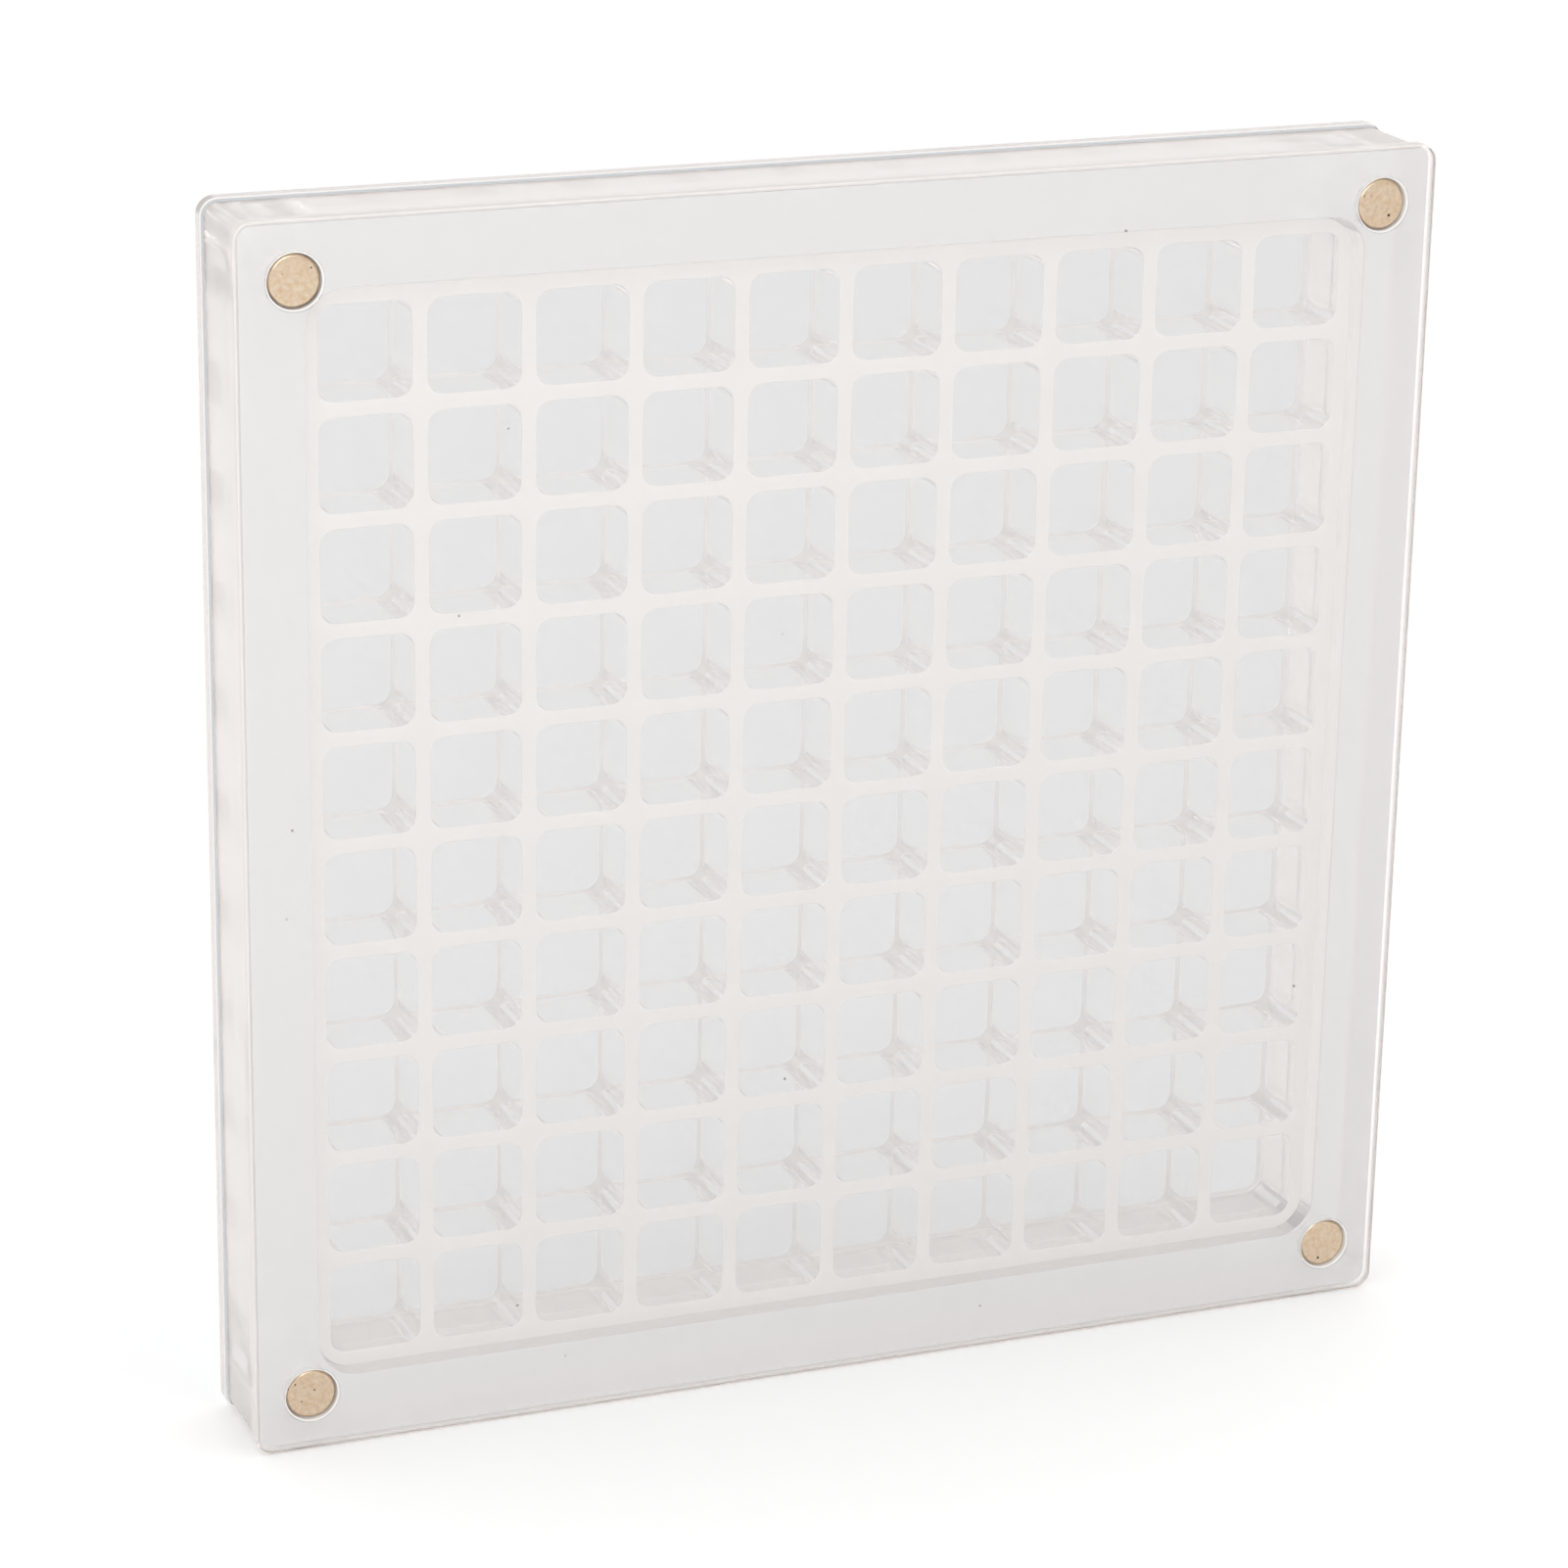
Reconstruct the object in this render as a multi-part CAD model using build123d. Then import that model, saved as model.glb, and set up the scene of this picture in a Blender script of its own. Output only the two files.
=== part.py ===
# Clear acrylic display box for small seashells, standing on its bottom edge.
# A rear panel and a deep square frame make the case. A lattice of square cells
# stands inside the frame, and a flat cover is held on the front by four pairs
# of disc magnets. Millimetres. X runs to the right, Y runs from the front
# towards the rear, and Z runs up. The origin is the middle of the footprint.

import os

from build123d import *

# Cells
cell_columns = 10
cell_rows = 10
cell_size = 18.0              # clear square opening of one cell
cell_wall = 2.9               # wall between two cells
cell_corner_radius = 3.0
grid_depth = 15.0             # thickness of the sheet that the cells are cut from
grid_rim = 2.9                # wall between the outer cells and the sheet's edge
grid_corner_radius = 7.0      # outer corners, which clear the magnet holes

# Frame
grid_clearance = 0.5          # gap round the lattice inside the frame
headroom = 4.0                # air between the lattice and the cover
bar_width = 12.85             # width of the four bars of the frame

# Front cover and rear panel
cover_thickness = 3.0
rear_thickness = 3.0
panel_overhang = 0.7          # how far both sheets stand out past the frame
panel_corner_radius = 3.5
edge_bevel = 0.3              # polished bevel along the outer edges
sheet_gap = 0.05              # thin air left where one piece lies on another

# Protective film on the cover
film_thickness = 0.1
film_gap = 0.02               # air under the film
film_margin = 0.75            # bare strip round the film
film_hole_margin = 0.45       # bare ring round each magnet hole

# Magnets
magnet_diameter = 10.0
magnet_gap = 0.15             # gap round a magnet in its hole
magnet_web = 1.2              # acrylic left between a magnet hole and the lattice's corner
cover_magnet_length = 2.0
cover_magnet_recess = 0.4     # from the cover's rear face
frame_magnet_length = 10.0
frame_magnet_recess = 0.2     # from the frame's front face

# Sizes that follow from the ones above
grid_width = cell_columns * cell_size + (cell_columns - 1) * cell_wall + 2 * grid_rim
grid_height = cell_rows * cell_size + (cell_rows - 1) * cell_wall + 2 * grid_rim
opening_width = grid_width + 2 * grid_clearance
opening_height = grid_height + 2 * grid_clearance
frame_width = opening_width + 2 * bar_width
frame_height = opening_height + 2 * bar_width
frame_depth = grid_depth + headroom
grid_drop = grid_clearance - sheet_gap
panel_width = frame_width + 2 * panel_overhang
panel_height = frame_height + 2 * panel_overhang
film_stack = film_thickness + film_gap
box_depth = film_stack + cover_thickness + frame_depth + rear_thickness + 2 * sheet_gap

# Planes along Y, front to rear
film_front = -box_depth / 2
cover_front = film_front + film_stack
cover_magnet_front = cover_front + cover_thickness - cover_magnet_recess - cover_magnet_length
frame_front = cover_front + cover_thickness + sheet_gap
frame_magnet_front = frame_front + frame_magnet_recess
rear_front = frame_front + frame_depth + sheet_gap
grid_front = rear_front - sheet_gap - grid_depth
centre_height = panel_height / 2

# The magnets lie on the corners' diagonals, just clear of the opening's round corners.
opening_corner_radius = grid_corner_radius + grid_clearance
hole_radius = magnet_diameter / 2 + magnet_gap
corner_to_hole = (opening_corner_radius + magnet_web + hole_radius) / 2 ** 0.5
magnet_x = opening_width / 2 - opening_corner_radius + corner_to_hole
magnet_z = opening_height / 2 - opening_corner_radius + corner_to_hole
corners = {
    "top_left": (-magnet_x, magnet_z),
    "top_right": (magnet_x, magnet_z),
    "bottom_left": (-magnet_x, -magnet_z),
    "bottom_right": (magnet_x, -magnet_z),
}


def front_plane(y):
    """A sketch plane facing the viewer at depth y: its x is X, its y is Z."""
    return Plane(origin=(0, y, centre_height), x_dir=(1, 0, 0), z_dir=(0, -1, 0))


def slab(outline, front, depth):
    """Extrude a sketch from its front face towards the rear."""
    return extrude(front_plane(front) * outline, amount=-depth)


def magnet_holes(radius):
    """The four magnet holes as one sketch."""
    return Sketch() + [Pos(x, z) * Circle(radius) for x, z in corners.values()]


def bevel_rim(part):
    """Bevel the outer edges of both broad faces."""
    faces = part.faces().sort_by(Axis.Y)
    rims = [face.outer_wire().edges() for face in (faces[0], faces[-1])]
    return chamfer(rims[0] + rims[1], edge_bevel)


def make_panel(front, thickness, holes=None):
    """A rounded sheet, with the magnet holes where it has any."""
    outline = RectangleRounded(panel_width, panel_height, panel_corner_radius)
    panel = bevel_rim(slab(outline, front, thickness))
    if holes:
        panel = panel - slab(holes, front, thickness)
    return panel


def make_frame():
    """The deep square frame, with its opening and the holes for its magnets."""
    outline = RectangleRounded(frame_width, frame_height, panel_corner_radius - panel_overhang)
    opening = RectangleRounded(opening_width, opening_height, opening_corner_radius)
    ring = bevel_rim(slab(outline, frame_front, frame_depth))
    return ring - slab(opening + magnet_holes(hole_radius), frame_front, frame_depth)


def make_grid():
    """The lattice of cells. It stands on the frame's bottom bar, against the rear panel."""
    pitch = cell_size + cell_wall
    sheet = RectangleRounded(grid_width, grid_height, grid_corner_radius)
    cells = GridLocations(pitch, pitch, cell_columns, cell_rows) * RectangleRounded(
        cell_size, cell_size, cell_corner_radius)
    lattice = slab(sheet - cells, grid_front, grid_depth)
    return Pos(0, 0, -grid_drop) * lattice


def make_film():
    """The film on the cover's face, cut back from the edges and the magnets."""
    width = panel_width - 2 * film_margin
    height = panel_height - 2 * film_margin
    sheet = RectangleRounded(width, height, panel_corner_radius - film_margin)
    return slab(sheet - magnet_holes(hole_radius + film_hole_margin), film_front, film_thickness)


def make_magnet(place, front, length):
    """One disc magnet with its axis along Y."""
    x, z = place
    return bevel_disc(slab(Pos(x, z) * Circle(magnet_diameter / 2), front, length))


def bevel_disc(disc):
    """Bevel both round edges of a magnet."""
    return chamfer(disc.edges().filter_by(GeomType.CIRCLE), edge_bevel)


nodes = {
    "rear_panel": make_panel(rear_front, rear_thickness),
    "frame": make_frame(),
    "cell_grid": make_grid(),
    "front_cover": make_panel(cover_front, cover_thickness, magnet_holes(hole_radius)),
    "protective_film": make_film(),
}
for corner, place in corners.items():
    nodes["cover_magnet_" + corner] = make_magnet(place, cover_magnet_front, cover_magnet_length)
    nodes["frame_magnet_" + corner] = make_magnet(place, frame_magnet_front, frame_magnet_length)

os.makedirs("parts", exist_ok=True)
for name, node in nodes.items():
    export_step(node, os.path.join("parts", name + ".step"))

print("box", round(panel_width, 3), "x", round(box_depth, 3), "x", round(panel_height, 3))
print("magnet centres at", round(magnet_x, 3), "and", round(magnet_z, 3), "from the middle")
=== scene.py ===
# Looks of a clear acrylic display box for small seashells.
# Everything is in metres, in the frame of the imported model. The box stands on the floor at Z = 0,
# its cover faces -Y, and the camera looks at it from the left and from above.

import bmesh
import bpy
import math
import numpy as np
from mathutils import Matrix, Vector
from mathutils.geometry import delaunay_2d_cdt


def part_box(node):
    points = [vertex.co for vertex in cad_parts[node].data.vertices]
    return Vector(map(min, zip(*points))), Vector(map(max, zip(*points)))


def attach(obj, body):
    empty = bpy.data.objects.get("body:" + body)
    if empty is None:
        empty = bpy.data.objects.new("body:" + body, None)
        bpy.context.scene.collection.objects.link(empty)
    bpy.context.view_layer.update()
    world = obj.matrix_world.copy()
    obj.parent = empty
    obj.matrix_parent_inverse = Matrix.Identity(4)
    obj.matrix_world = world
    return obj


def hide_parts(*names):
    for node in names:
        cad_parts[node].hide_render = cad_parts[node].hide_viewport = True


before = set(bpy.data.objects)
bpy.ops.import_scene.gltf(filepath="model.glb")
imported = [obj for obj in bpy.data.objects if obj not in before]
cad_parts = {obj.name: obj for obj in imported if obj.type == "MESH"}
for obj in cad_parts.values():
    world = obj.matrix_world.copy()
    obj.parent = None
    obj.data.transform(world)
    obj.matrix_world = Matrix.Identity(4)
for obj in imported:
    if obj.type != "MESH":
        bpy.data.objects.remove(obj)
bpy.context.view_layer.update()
mm = 0.001


def hexToLinear(text):
    # sRGB hex to the linear colour that shaders read
    parts = [int(text[i:i + 2], 16) / 255 for i in (1, 3, 5)]
    return tuple(c / 12.92 if c <= 0.04045 else ((c + 0.055) / 1.055) ** 2.4 for c in parts) + (1.0,)


def socket(node, name):
    # the input of that name or number that is in use: a mix node has one of each name for every data type
    if isinstance(name, int):
        return node.inputs[name]
    return next(s for s in node.inputs if s.name == name and s.enabled)


def addNode(tree, kind, settings=None, links=None):
    # one shader node: settings are attributes or socket values, links feed its sockets
    node = tree.nodes.new(kind)
    for name, value in (settings or {}).items():
        if isinstance(name, str) and hasattr(node, name):
            setattr(node, name, value)
        else:
            socket(node, name).default_value = value
    for name, source in (links or {}).items():
        tree.links.new(source, socket(node, name))
    return node


def newMaterial(name):
    material = bpy.data.materials.new(name)
    material.use_nodes = True
    material.node_tree.nodes.clear()
    return material, material.node_tree


# Stage: camera, light and floor

camera = {
    "place": (-0.35815, -0.86268, 0.42970),  # metres
    "azimuth": 21.5,                         # degrees, turned to the right of +Y
    "elevation": 19.4,                       # degrees below level
    "roll": 0.82,                            # degrees
    "lens": 116.3,                           # mm
    "sensor": 36,                            # mm, its width
    "shift": (0.0315, 0.0559),               # in widths of the picture
    "clip": (0.01, 50),                      # metres
}
studio = {
    "backdrop": "#ffffff",
    "paper": "#ffffff",
    "paperSize": 14.0,
    "paperDrop": 0.1 * mm,    # so that the box's foot and the paper aren't the same face
    "softBox": {"place": (-0.20, -0.85, 0.62), "aim": (0, 0, 0.12), "size": 0.5, "power": 2.3},
    "bounces": 72,            # light is thrown from wall to wall in the cells many times before it leaves
    "clearFaces": 64,         # see-through faces that one ray may pass
}


def makeCamera():
    azimuth, elevation, roll = (math.radians(camera[k]) for k in ("azimuth", "elevation", "roll"))
    ahead = Vector((math.sin(azimuth) * math.cos(elevation), math.cos(azimuth) * math.cos(elevation),
                    -math.sin(elevation)))
    level = ahead.cross(Vector((0, 0, 1))).normalized()
    upright = level.cross(ahead)
    right = level * math.cos(roll) + upright * math.sin(roll)
    up = right.cross(ahead)
    data = bpy.data.cameras.new("camera")
    data.sensor_width = camera["sensor"]
    data.lens = camera["lens"]
    data.shift_x, data.shift_y = camera["shift"]
    data.clip_start, data.clip_end = camera["clip"]
    thing = bpy.data.objects.new("camera", data)
    bpy.context.scene.collection.objects.link(thing)
    turn = Matrix((right, up, -ahead)).transposed().to_4x4()
    thing.matrix_world = Matrix.Translation(Vector(camera["place"])) @ turn
    bpy.context.scene.camera = thing


def makeWorld():
    # an evenly white studio
    world = bpy.data.worlds.new("studio")
    bpy.context.scene.world = world
    world.use_nodes = True
    tree = world.node_tree
    tree.nodes.clear()
    back = addNode(tree, "ShaderNodeBackground",
                   {"Color": hexToLinear(studio["backdrop"]), "Strength": 1.0})
    addNode(tree, "ShaderNodeOutputWorld", links={"Surface": back.outputs[0]})


def makeFloor():
    # one large square sheet of plain white paper
    half = studio["paperSize"] / 2
    mesh = bpy.data.meshes.new("floor")
    z = -studio["paperDrop"]
    points = [(-half, -half, z), (half, -half, z), (half, half, z), (-half, half, z)]
    mesh.from_pydata(points, [], [(0, 1, 2, 3)])
    floor = bpy.data.objects.new("floor", mesh)
    bpy.context.scene.collection.objects.link(floor)
    material, tree = newMaterial("white seamless paper")
    sheet = addNode(tree, "ShaderNodeBsdfDiffuse", {"Color": hexToLinear(studio["paper"])})
    addNode(tree, "ShaderNodeOutputMaterial", links={"Surface": sheet.outputs[0]})
    mesh.materials.append(material)


def makeSoftBox():
    box = studio["softBox"]
    light = bpy.data.lights.new("soft box", "AREA")
    light.shape = "SQUARE"
    light.size = box["size"]
    light.energy = box["power"]
    thing = bpy.data.objects.new("soft box", light)
    thing.location = box["place"]
    towards = Vector(box["aim"]) - Vector(box["place"])
    thing.rotation_euler = towards.to_track_quat("-Z", "Y").to_euler()
    bpy.context.scene.collection.objects.link(thing)


def setPaths():
    # how far light is followed through the acrylic, and how its brightness is shown
    cycles = bpy.context.scene.cycles
    cycles.max_bounces = studio["bounces"]
    cycles.transmission_bounces = studio["bounces"]
    cycles.glossy_bounces = studio["bounces"]
    cycles.transparent_max_bounces = studio["clearFaces"]
    bpy.context.scene.view_settings.view_transform = "Standard"


makeCamera()
makeWorld()
makeFloor()
makeSoftBox()
setPaths()
print("stage: camera, studio and floor")


# Shapes

hold = 0.25 * mm              # the strip beside each round corner that keeps a straight side's shading flat
tiny = 1e-9                   # lengths under this are nothing
wallOnly = 3                  # of the 11 strips of a plate's profile, those of its straight wall
wallAndRounds = 9             # and those of the wall with the rounds at both its ends
plateEdge = {"points": 4, "rim": 1.4}     # points on its quarter round, and its flat rim's reach in radii


def middle(low, high):
    return ((low.x + high.x) / 2, (low.z + high.z) / 2)


def rounded(centre, half, radius, steps, slot, wallStrips):
    # The outline of a rounded rectangle, or of a circle where both halves are the radius. Its wall has the
    # finish in the given slot, over that many strips of the profile. Each corner has that many steps.
    return {"centre": centre, "half": half, "radius": radius, "steps": steps, "slot": slot,
            "wallStrips": wallStrips}


def roundedBox(low, high, radius, steps, slot, wallStrips):
    # the outline that fills a box
    half = ((high.x - low.x) / 2, (high.z - low.z) / 2)
    return rounded(middle(low, high), half, radius, steps, slot, wallStrips)


def outlinePoints(outline, inset):
    # x and z of a rounded rectangle that lies inset inside the given one. Each corner is an arc about a
    # centre one radius inside both sides, and it has one more point along the straight side before it and
    # after it, so that the flat sides are shaded flat. A circle is the case with no straight sides.
    radius = outline["radius"]
    reach = np.array(outline["half"]) - radius
    isCircle = max(reach) < tiny
    parts = []
    for quarter, side in enumerate(((1, 1), (-1, 1), (-1, -1), (1, -1))):
        angle = np.linspace(0, math.pi / 2, outline["steps"] + 1) + quarter * math.pi / 2
        arc = np.stack([np.cos(angle), np.sin(angle)], axis=1) * (radius - inset)
        along = np.stack([-np.sin(angle), np.cos(angle)], axis=1) * hold
        arc = arc[:-1] if isCircle else np.concatenate([arc[:1] - along[:1], arc, arc[-1:] + along[-1:]])
        parts.append(arc + reach * side)
    return np.concatenate(parts) + outline["centre"]


def plateMesh(name, outlines, front, back, edge, backSlot=0):
    # A sheet. Its first outline is the outer one, and the others are holes. Every outline is carried from
    # the front face to the back face along one profile: a short flat rim, a quarter round of radius edge, a
    # straight wall, and the same again mirrored. A station of the profile is a depth and an inset, and
    # holes are inset the other way. The flat faces are filled between the outlines' end rings by a
    # constrained triangulation.
    turn = np.linspace(0, math.pi / 2, plateEdge["points"])
    rim = plateEdge["rim"] * edge
    depth = np.concatenate([[0], edge * (1 - np.cos(turn)), [rim]])
    inset = np.concatenate([[rim], edge * (1 - np.sin(turn)), [0]])
    depths = np.concatenate([front + depth, back - depth[::-1]])
    insets = np.concatenate([inset, inset[::-1]])
    stations = len(depths)
    points, quads, strips, ends, owner = [], [], [], [], []
    start = 0
    for number, outline in enumerate(outlines):
        sign = 1 if number == 0 else -1
        rings = np.stack([outlinePoints(outline, sign * i) for i in insets])
        count = rings.shape[1]
        y = np.broadcast_to(depths[:, None], rings.shape[:2])
        points.append(np.stack([rings[..., 0], y, rings[..., 1]], axis=-1).reshape(-1, 3))
        i, s = np.meshgrid(np.arange(count), np.arange(stations - 1))
        j = (i + 1) % count
        corner = np.stack([s * count + i, s * count + j, (s + 1) * count + j, (s + 1) * count + i], axis=-1)
        quads.append(start + corner.reshape(-1, 4))
        halfway = (stations - 2) / 2
        wall = np.abs(s - halfway) < outline["wallStrips"] / 2
        strips.append(np.where(wall, outline["slot"], np.where(s > halfway, backSlot, 0)).reshape(-1))
        first = start + np.arange(count)
        ends.append(np.stack([first, first + (stations - 1) * count], axis=1))
        owner += [number] * count
        start += stations * count
    points, quads, ends = (np.concatenate(rows) for rows in (points, quads, ends))
    owner = np.array(owner)
    firsts = np.flatnonzero(np.r_[True, owner[1:] != owner[:-1]])
    following = np.arange(len(owner)) + 1
    following[np.r_[firsts[1:], len(owner)] - 1] = firsts
    flat = [Vector((x, z)) for x, z in points[ends[:, 0]][:, [0, 2]]]
    found = delaunay_2d_cdt(flat, list(zip(range(len(flat)), following.tolist())), [], 1, tiny)
    source = np.array([same[0] for same in found[3]])
    triangles = source[np.array(found[2])]
    inHole = (owner[triangles] == owner[triangles[:, :1]]).all(axis=1) & (owner[triangles[:, 0]] > 0)
    triangles = triangles[~inHole]
    faces = quads.tolist() + ends[triangles, 0].tolist() + ends[triangles, 1].tolist()
    mesh = bpy.data.meshes.new(name)
    mesh.from_pydata(points.tolist(), [], faces)
    slots = np.zeros(len(faces), dtype=np.int32)
    slots[:len(quads)] = np.concatenate(strips)
    slots[len(quads) + len(triangles):] = backSlot
    mesh.polygons.foreach_set("material_index", slots)
    return mesh


def discMesh(name, low, high, shape, seed):
    # A magnet that fills a box: one profile of radius against depth, turned round the Y axis. The profile
    # runs from the middle of the front face over a quarter round to the wall and back over another to the
    # middle of the rear face. The rounds' radius dips a little here and there with three slow waves, as a
    # worn, plated edge does.
    x, z = middle(low, high)
    radius = (high.x - low.x) / 2
    edge = shape["edge"]
    flat = radius - edge
    turn = np.linspace(0, math.pi / 2, shape["points"])
    faceRings = np.array(shape["faceRings"]) * flat
    r = np.concatenate([faceRings, radius - edge * (1 - np.sin(turn))])
    y = np.concatenate([np.zeros(len(faceRings)), edge * (1 - np.cos(turn))])
    r = np.concatenate([r, r[::-1]])
    y = np.concatenate([low.y + y, high.y - y[::-1]])
    count = shape["around"]
    angle = np.arange(count) * 2 * math.pi / count
    draw = np.random.default_rng(seed)
    waves = sum(draw.uniform(shape["leastWave"], 1) * np.cos(k * angle + draw.uniform(0, 2 * math.pi))
                for k in shape["waves"])
    worn = 1 - shape["wear"] * (0.5 + 0.5 * waves / len(shape["waves"]))
    ringR = np.where(r[:, None] > faceRings[-1], r[:, None] * worn, r[:, None])
    rings = np.stack([x + ringR * np.cos(angle), np.broadcast_to(y[:, None], ringR.shape),
                      z + ringR * np.sin(angle)], axis=-1).reshape(-1, 3)
    poles = np.array([[x, low.y, z], [x, high.y, z]])
    i, s = np.meshgrid(np.arange(count), np.arange(len(r) - 1))
    j = (i + 1) % count
    quads = np.stack([s * count + i, s * count + j, (s + 1) * count + j, (s + 1) * count + i], axis=-1)
    around = np.arange(count)
    nextOne = (around + 1) % count
    first = np.stack([np.full(count, len(rings)), nextOne, around], axis=1)
    lastRing = (len(r) - 1) * count
    last = np.stack([np.full(count, len(rings) + 1), lastRing + around, lastRing + nextOne], axis=1)
    mesh = bpy.data.meshes.new(name)
    mesh.from_pydata(np.concatenate([rings, poles]).tolist(), [],
                     quads.reshape(-1, 4).tolist() + first.tolist() + last.tolist())
    return mesh


def addPiece(mesh, nodeName, bodyName, materials):
    # the finished piece: faces turned outwards and shaded smooth, in place of its CAD node
    shell = bmesh.new()
    shell.from_mesh(mesh)
    bmesh.ops.recalc_face_normals(shell, faces=shell.faces)
    shell.to_mesh(mesh)
    shell.free()
    mesh.polygons.foreach_set("use_smooth", np.ones(len(mesh.polygons), dtype=bool))
    for material in materials:
        mesh.materials.append(material)
    thing = bpy.data.objects.new(mesh.name, mesh)
    bpy.context.scene.collection.objects.link(thing)
    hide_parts(nodeName)
    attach(thing, bodyName)


# Clear acrylic

acrylic = {
    "ior": 1.49,
    "shadow": 1.0,             # light that one face lets through to what is behind it
    "sawPitch": 0.35 * mm,     # spacing of the faint cut lines along the sheets' edges
    "sawRun": 50 * mm,         # how far such a line runs from front to back before it changes
    "sawDepth": 0.006 * mm,
}
# each finish: the face, its colour and roughness, the share of light that it scatters, and the strength
# of its cut lines
acrylicFinishes = {
    "clear": ("as cast", "#fffefd", 0.0, 0.0, 0),           # glossy
    "rear": ("rear sheet", "#ced1d4", 0.0, 0.0, 0),         # glossy; its blue-grey tint is painted shade, which darkens the cells' floors seen through it as the shade behind the box does
    "planed": ("planed face", "#f8f6f5", 0.0, 0.36, 0),     # a whitish bloom hides what is behind it
    "bonded": ("bonded face", "#ffffff", 0.0, 0.1, 0),      # nearly clear where the adhesive wets it
    "sawn": ("sawn edge", "#fff8f4", 0.08, 0.45, 0.6),      # satin and warm white, with faint cut lines
    "lattice": ("lattice face", "#fffaf7", 0.05, 0.68, 0),  # cut and cleaned, whitish
    "routed": ("routed wall", "#fffdfc", 0.0, 0.0, 0),      # flame-polished, so it pipes light
    "bored": ("bored wall", "#f4f3f2", 0.15, 0.2, 0),       # dull
    "paleRing": ("magnet hole", "#fffdfb", 0.15, 0.6, 0),      # whitish: painted highlight, the pale ring of light that the hole's edge shows round each magnet
}


def acrylicMaterial(face, colour, roughness, milk, cutLines):
    # cast acrylic sheet (PMMA). As-cast faces are glossy and clear, so the eye looks straight through them.
    # Cut faces are satin, so part of their light is scattered and they look whitish.
    material, tree = newMaterial("cast acrylic, " + face)
    coords = addNode(tree, "ShaderNodeTexCoord")
    across = 1 / acrylic["sawPitch"]
    stretch = addNode(tree, "ShaderNodeMapping", {"Scale": (across, 1 / acrylic["sawRun"], across)},
                      {"Vector": coords.outputs["Object"]})
    lines = addNode(tree, "ShaderNodeTexNoise", {"Scale": 1.0, "Detail": 2.0},
                    {"Vector": stretch.outputs[0]})
    bump = addNode(tree, "ShaderNodeBump", {"Strength": cutLines, "Distance": acrylic["sawDepth"]},
                   {"Height": lines.outputs["Fac"]})
    plastic = addNode(tree, "ShaderNodeBsdfPrincipled",
                      {"Base Color": hexToLinear(colour), "Roughness": roughness,
                       "IOR": acrylic["ior"], "Transmission Weight": 1 - milk},
                      {"Normal": bump.outputs[0]} if cutLines else {})
    rays = addNode(tree, "ShaderNodeLightPath")
    through = addNode(tree, "ShaderNodeBsdfTransparent", {"Color": (acrylic["shadow"],) * 3 + (1,)})
    mixed = addNode(tree, "ShaderNodeMixShader",
                    links={0: rays.outputs["Is Shadow Ray"], 1: plastic.outputs[0], 2: through.outputs[0]})
    addNode(tree, "ShaderNodeOutputMaterial", links={"Surface": mixed.outputs[0]})
    return material


# Panels and frame

panel = {
    "corner": 3.5 * mm,
    "edge": 0.3 * mm,         # radius of its round edges
    "steps": 14,
}
bars = {
    "corner": 2.8 * mm,
    "edge": 0.3 * mm,
    "steps": 14,
    "openingSteps": 18,
}
magnetHole = {
    "gap": 0.15 * mm,         # round the magnet
    "steps": 20,              # in a quarter of it
}
corners = ("top_left", "top_right", "bottom_left", "bottom_right")


def magnetHoles(gap, slot, wallStrips):
    holes = []
    for corner in corners:
        low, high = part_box("cover_magnet_" + corner)
        radius = (high.x - low.x) / 2 + gap
        holes.append(rounded(middle(low, high), (radius, radius), radius, magnetHole["steps"],
                             slot, wallStrips))
    return holes


def makePanel(nodeName, bodyName, holes, materials):
    # its materials: face, edge and, where it has holes, their walls
    low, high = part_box(nodeName)
    outer = roundedBox(low, high, panel["corner"], panel["steps"], 1, wallAndRounds)
    mesh = plateMesh(nodeName + "_sheet", [outer] + holes, low.y, high.y, panel["edge"])
    addPiece(mesh, nodeName, bodyName, materials)


def makeFrame(materials):
    # its materials: front face, edge, opening, magnet holes and rear face
    low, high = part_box("frame")
    outer = roundedBox(low, high, bars["corner"], bars["steps"], 1, wallAndRounds)
    gridLow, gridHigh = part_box("cell_grid")
    half = (gridHigh.x - gridLow.x) / 2 + lattice["gap"]
    opening = rounded(outer["centre"], (half, half), lattice["corner"] + lattice["gap"],
                      bars["openingSteps"], 2, wallOnly)
    holes = magnetHoles(magnetHole["gap"], 3, wallOnly)
    mesh = plateMesh("frame_bars", [outer, opening] + holes, low.y, high.y, bars["edge"], backSlot=4)
    addPiece(mesh, "frame", "case", materials)


# Lattice of cells

lattice = {
    "columns": 10,
    "rows": 10,
    "cell": 18.0 * mm,        # clear width
    "pitch": 20.9 * mm,
    "cellCorner": 3.0 * mm,
    "cellSteps": 10,
    "corner": 7.0 * mm,
    "steps": 16,
    "edge": 0.15 * mm,
    "gap": 0.5 * mm,          # round the lattice, inside the frame
}


def makeLattice(materials):
    # its materials: face and walls
    low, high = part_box("cell_grid")
    outer = roundedBox(low, high, lattice["corner"], lattice["steps"], 1, wallOnly)
    half = lattice["cell"] / 2
    cells = []
    for row in range(lattice["rows"]):
        for column in range(lattice["columns"]):
            x = outer["centre"][0] + (column - (lattice["columns"] - 1) / 2) * lattice["pitch"]
            z = outer["centre"][1] + (row - (lattice["rows"] - 1) / 2) * lattice["pitch"]
            cells.append(rounded((x, z), (half, half), lattice["cellCorner"], lattice["cellSteps"],
                                 1, wallOnly))
    mesh = plateMesh("cell_lattice", [outer] + cells, low.y, high.y, lattice["edge"])
    addPiece(mesh, "cell_grid", "case", materials)


# Protective film

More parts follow.
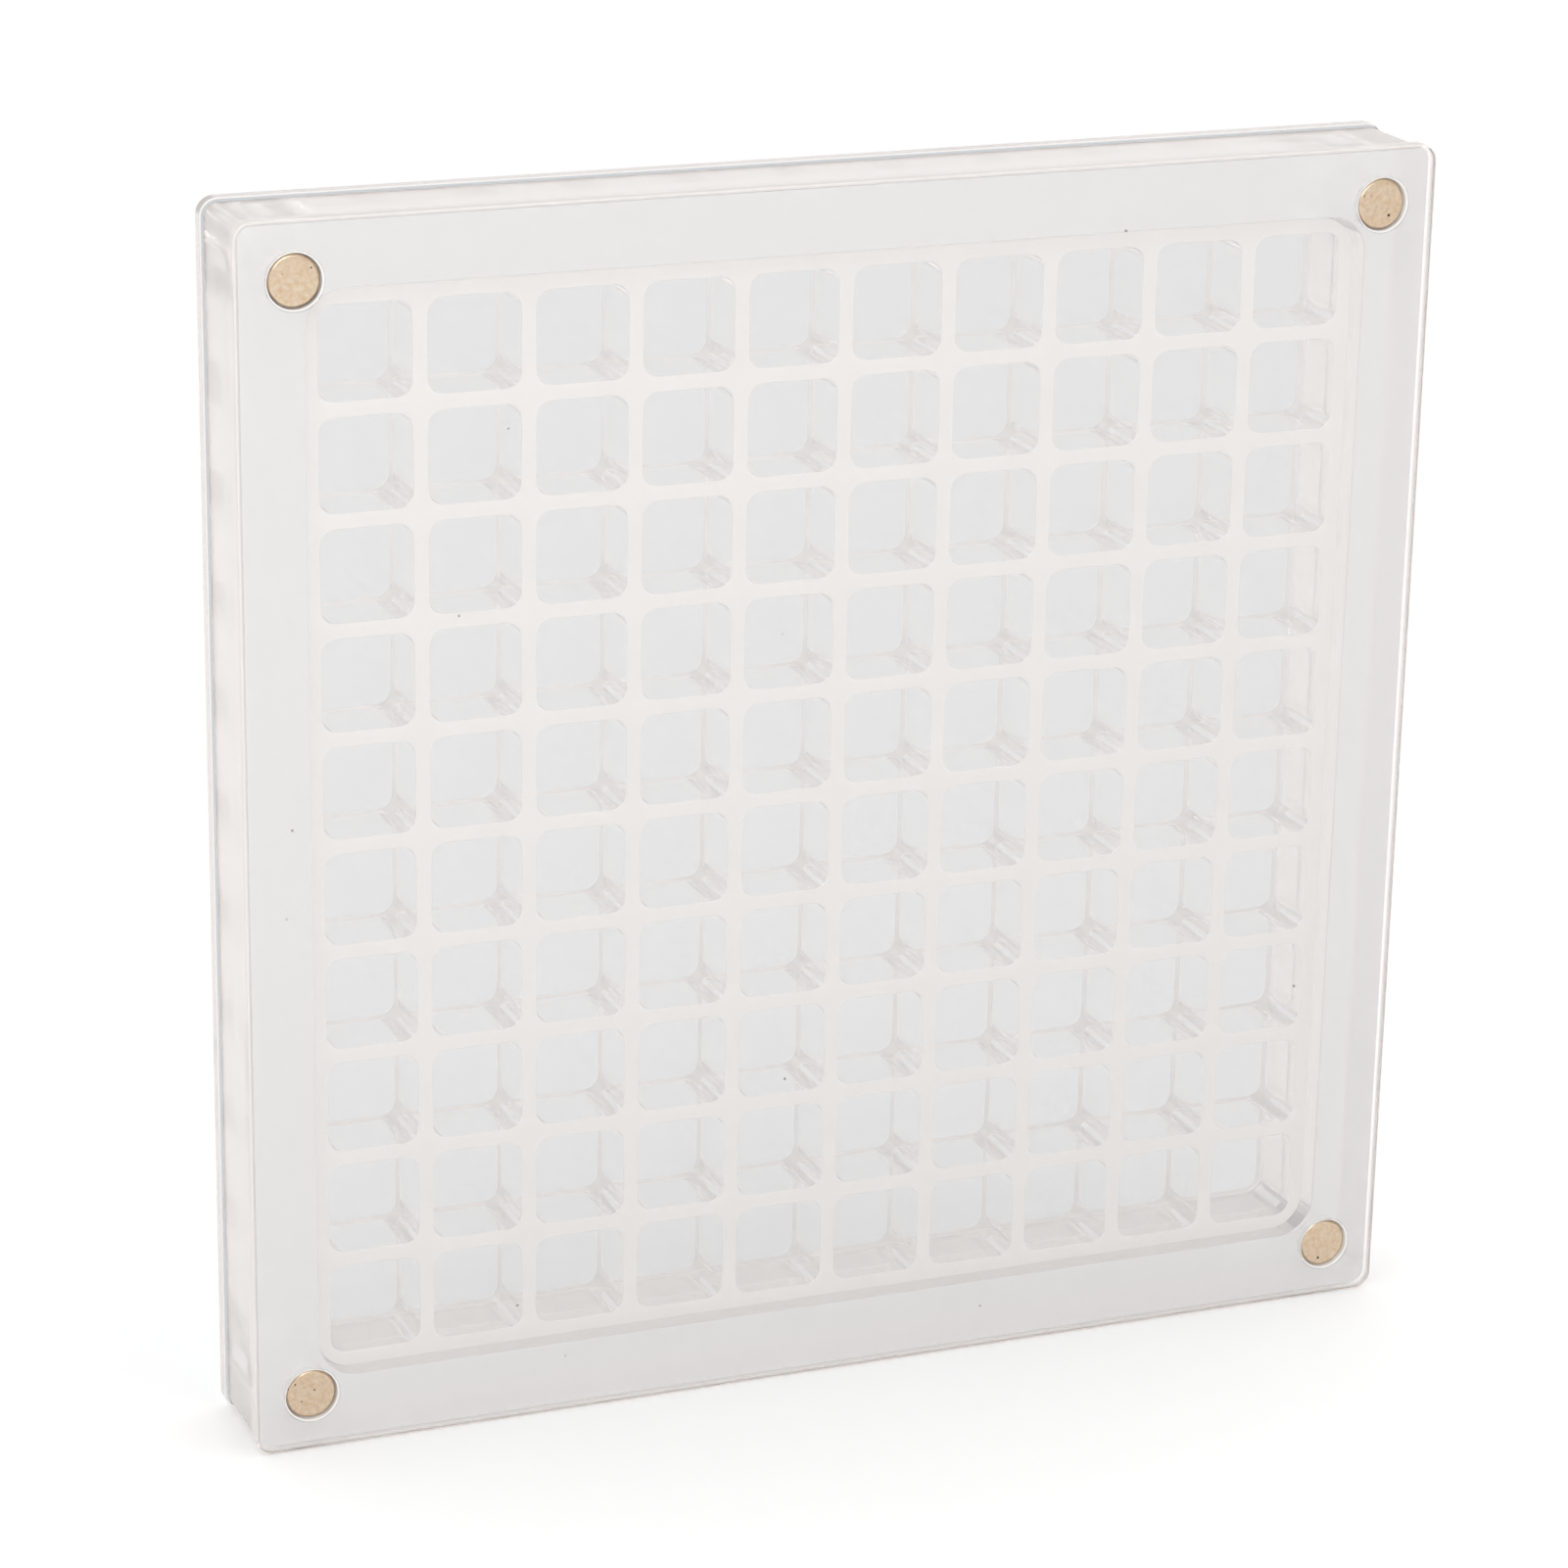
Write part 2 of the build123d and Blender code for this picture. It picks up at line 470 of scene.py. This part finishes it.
film = {
    "veil": 0.26,             # share of the light that each side of the film scatters back
    "roughness": 0.38,
    "ior": 1.5,
    "colour": "#e9e7e6",
    "speck": "#8f8983",       # specks of dust caught under it
    "speckSpacing": 11.0 * mm,
    "speckRadius": 0.35 * mm,
    "speckShare": 0.5,        # share of the places that have one
    "dentSpacing": 26.0 * mm,
    "dentDepth": 0.02 * mm,
    "dentStrength": 0.3,
    "holeMargin": 0.45 * mm,  # bare ring round each magnet hole
    "edge": 0.02 * mm,
}


def filmMaterial():
    # polyethylene masking film, blown and embossed: a thin, dull, slightly milky skin with specks and dents
    material, tree = newMaterial("polyethylene masking film")
    coords = addNode(tree, "ShaderNodeTexCoord")
    places = addNode(tree, "ShaderNodeTexVoronoi", {"Scale": 1 / film["speckSpacing"]},
                     {"Vector": coords.outputs["Object"]})
    dice = addNode(tree, "ShaderNodeSeparateColor", links={0: places.outputs["Color"]})
    size = addNode(tree, "ShaderNodeMapRange",
                   {"From Min": 1 - film["speckShare"], "From Max": 1.0, "To Min": 0.0,
                    "To Max": film["speckRadius"] / film["speckSpacing"]}, {"Value": dice.outputs[0]})
    speck = addNode(tree, "ShaderNodeMath", {"operation": "LESS_THAN"},
                    {0: places.outputs["Distance"], 1: size.outputs["Result"]})
    colour = addNode(tree, "ShaderNodeMix", {"data_type": "RGBA", "A": hexToLinear(film["colour"]),
                                             "B": hexToLinear(film["speck"])}, {"Factor": speck.outputs[0]})
    pulls = addNode(tree, "ShaderNodeTexNoise", {"Scale": 1 / film["dentSpacing"], "Detail": 3.0},
                    {"Vector": coords.outputs["Object"]})
    bump = addNode(tree, "ShaderNodeBump",
                   {"Strength": film["dentStrength"], "Distance": film["dentDepth"]},
                   {"Height": pulls.outputs["Fac"]})
    skin = addNode(tree, "ShaderNodeBsdfPrincipled", {"Roughness": film["roughness"], "IOR": film["ior"]},
                   {"Base Color": colour.outputs["Result"], "Normal": bump.outputs[0]})
    rays = addNode(tree, "ShaderNodeLightPath")
    dense = addNode(tree, "ShaderNodeMath", {"operation": "MAXIMUM", 0: film["veil"]},
                    {1: speck.outputs[0]})
    share = addNode(tree, "ShaderNodeMix", {"data_type": "FLOAT", "B": 0.0},
                    {"Factor": rays.outputs["Is Shadow Ray"], "A": dense.outputs[0]})
    through = addNode(tree, "ShaderNodeBsdfTransparent", {"Color": (1, 1, 1, 1)})
    mixed = addNode(tree, "ShaderNodeMixShader",
                    links={0: share.outputs["Result"], 1: through.outputs[0], 2: skin.outputs[0]})
    addNode(tree, "ShaderNodeOutputMaterial", links={"Surface": mixed.outputs[0]})
    return material


def makeFilm(material):
    low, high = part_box("protective_film")
    coverLow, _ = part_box("front_cover")
    margin = low.x - coverLow.x
    outer = roundedBox(low, high, panel["corner"] - margin, panel["steps"], 0, wallOnly)
    holes = magnetHoles(magnetHole["gap"] + film["holeMargin"], 0, wallOnly)
    mesh = plateMesh("masking_film", [outer] + holes, low.y, high.y, film["edge"])
    addPiece(mesh, "protective_film", "cover", [material])


# Magnets

magnet = {
    "bright": "#d8c7b0",      # the plate of the four magnets in the cover
    "paintedShade": "#6a625c",        # painted shade: the same nickel plate darkened, so that the four in the frame look dark through the sides
    "stain": 0.86,            # the stains' red against the plate's; their green and blue fall off faster
    "stainSize": 0.9 * mm,
    "stainRange": (0.35, 0.7),  # the noise's values where a stain starts and where it is full
    "stainDepth": 0.05 * mm,
    "stainStrength": 0.25,
    "pitColour": "#54463a",
    "pitSpacing": 1.3 * mm,
    "pitRadius": 0.3 * mm,
    "pitShare": 0.4,          # share of the places that have one
    "roughness": 0.27,
    "firstSeed": 11,
}
disc = {
    "edge": 0.55 * mm,        # radius of its round edges
    "points": 6,              # on each quarter round
    "faceRings": (0.35, 0.7, 0.9),  # rings on its flat faces, as shares of the flat's radius
    "around": 96,
    "wear": 0.035,            # how deep the edge's dips are, as a share of the radius
    "waves": (3, 5, 8),       # times round the edge
    "leastWave": 0.3,
}


def magnetMaterial(name, plate):
    # nickel plate on a pressed and ground magnet: a warm satin metal with soft stains and a few dark pits
    material, tree = newMaterial(name)
    coords = addNode(tree, "ShaderNodeTexCoord")
    cloud = addNode(tree, "ShaderNodeTexNoise",
                    {"Scale": 1 / magnet["stainSize"], "Detail": 5.0, "Roughness": 0.65},
                    {"Vector": coords.outputs["Object"]})
    clean, full = magnet["stainRange"]
    stain = addNode(tree, "ShaderNodeMapRange", {"From Min": clean, "From Max": full},
                    {"Value": cloud.outputs["Fac"]})
    plain = hexToLinear(plate)
    stained = tuple(c * magnet["stain"] ** (1 + i) for i, c in enumerate(plain[:3])) + (1.0,)
    surface = addNode(tree, "ShaderNodeMix", {"data_type": "RGBA", "A": plain, "B": stained},
                      {"Factor": stain.outputs["Result"]})
    places = addNode(tree, "ShaderNodeTexVoronoi", {"Scale": 1 / magnet["pitSpacing"]},
                     {"Vector": coords.outputs["Object"]})
    dice = addNode(tree, "ShaderNodeSeparateColor", links={0: places.outputs["Color"]})
    size = addNode(tree, "ShaderNodeMapRange",
                   {"From Min": 1 - magnet["pitShare"], "From Max": 1.0, "To Min": 0.0,
                    "To Max": magnet["pitRadius"] / magnet["pitSpacing"]}, {"Value": dice.outputs[0]})
    pit = addNode(tree, "ShaderNodeMath", {"operation": "LESS_THAN"},
                  {0: places.outputs["Distance"], 1: size.outputs["Result"]})
    colour = addNode(tree, "ShaderNodeMix", {"data_type": "RGBA", "B": hexToLinear(magnet["pitColour"])},
                     {"Factor": pit.outputs[0], "A": surface.outputs["Result"]})
    bump = addNode(tree, "ShaderNodeBump",
                   {"Strength": magnet["stainStrength"], "Distance": magnet["stainDepth"]},
                   {"Height": cloud.outputs["Fac"]})
    metal = addNode(tree, "ShaderNodeBsdfPrincipled", {"Metallic": 1.0, "Roughness": magnet["roughness"]},
                    {"Base Color": colour.outputs["Result"], "Normal": bump.outputs[0]})
    addNode(tree, "ShaderNodeOutputMaterial", links={"Surface": metal.outputs[0]})
    return material


def makeMagnets():
    bright = magnetMaterial("nickel plate, bright", magnet["bright"])
    # the frame's magnets get a darkened copy of the same plate, as painted shade
    paintedShade = magnetMaterial("nickel plate, dull", magnet["paintedShade"])
    seed = magnet["firstSeed"]
    for body, prefix, plate in (("cover", "cover_magnet_", bright), ("case", "frame_magnet_", paintedShade)):
        for corner in corners:
            low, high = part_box(prefix + corner)
            mesh = discMesh(prefix + corner + "_disc", low, high, disc, seed)
            addPiece(mesh, prefix + corner, body, [plate])
            seed += 1


finish = {name: acrylicMaterial(*values) for name, values in acrylicFinishes.items()}
print("acrylic:", len(finish), "finishes")
makePanel("front_cover", "cover", magnetHoles(magnetHole["gap"], 2, wallAndRounds),
          [finish["clear"], finish["sawn"], finish["paleRing"]])
makePanel("rear_panel", "case", [], [finish["rear"], finish["sawn"]])
makeFrame([finish["planed"], finish["sawn"], finish["routed"], finish["bored"], finish["bonded"]])
print("panels and frame")
makeLattice([finish["lattice"], finish["routed"]])
print("lattice of", lattice["columns"], "by", lattice["rows"], "cells")
makeFilm(filmMaterial())
makeMagnets()
print("film and magnets")
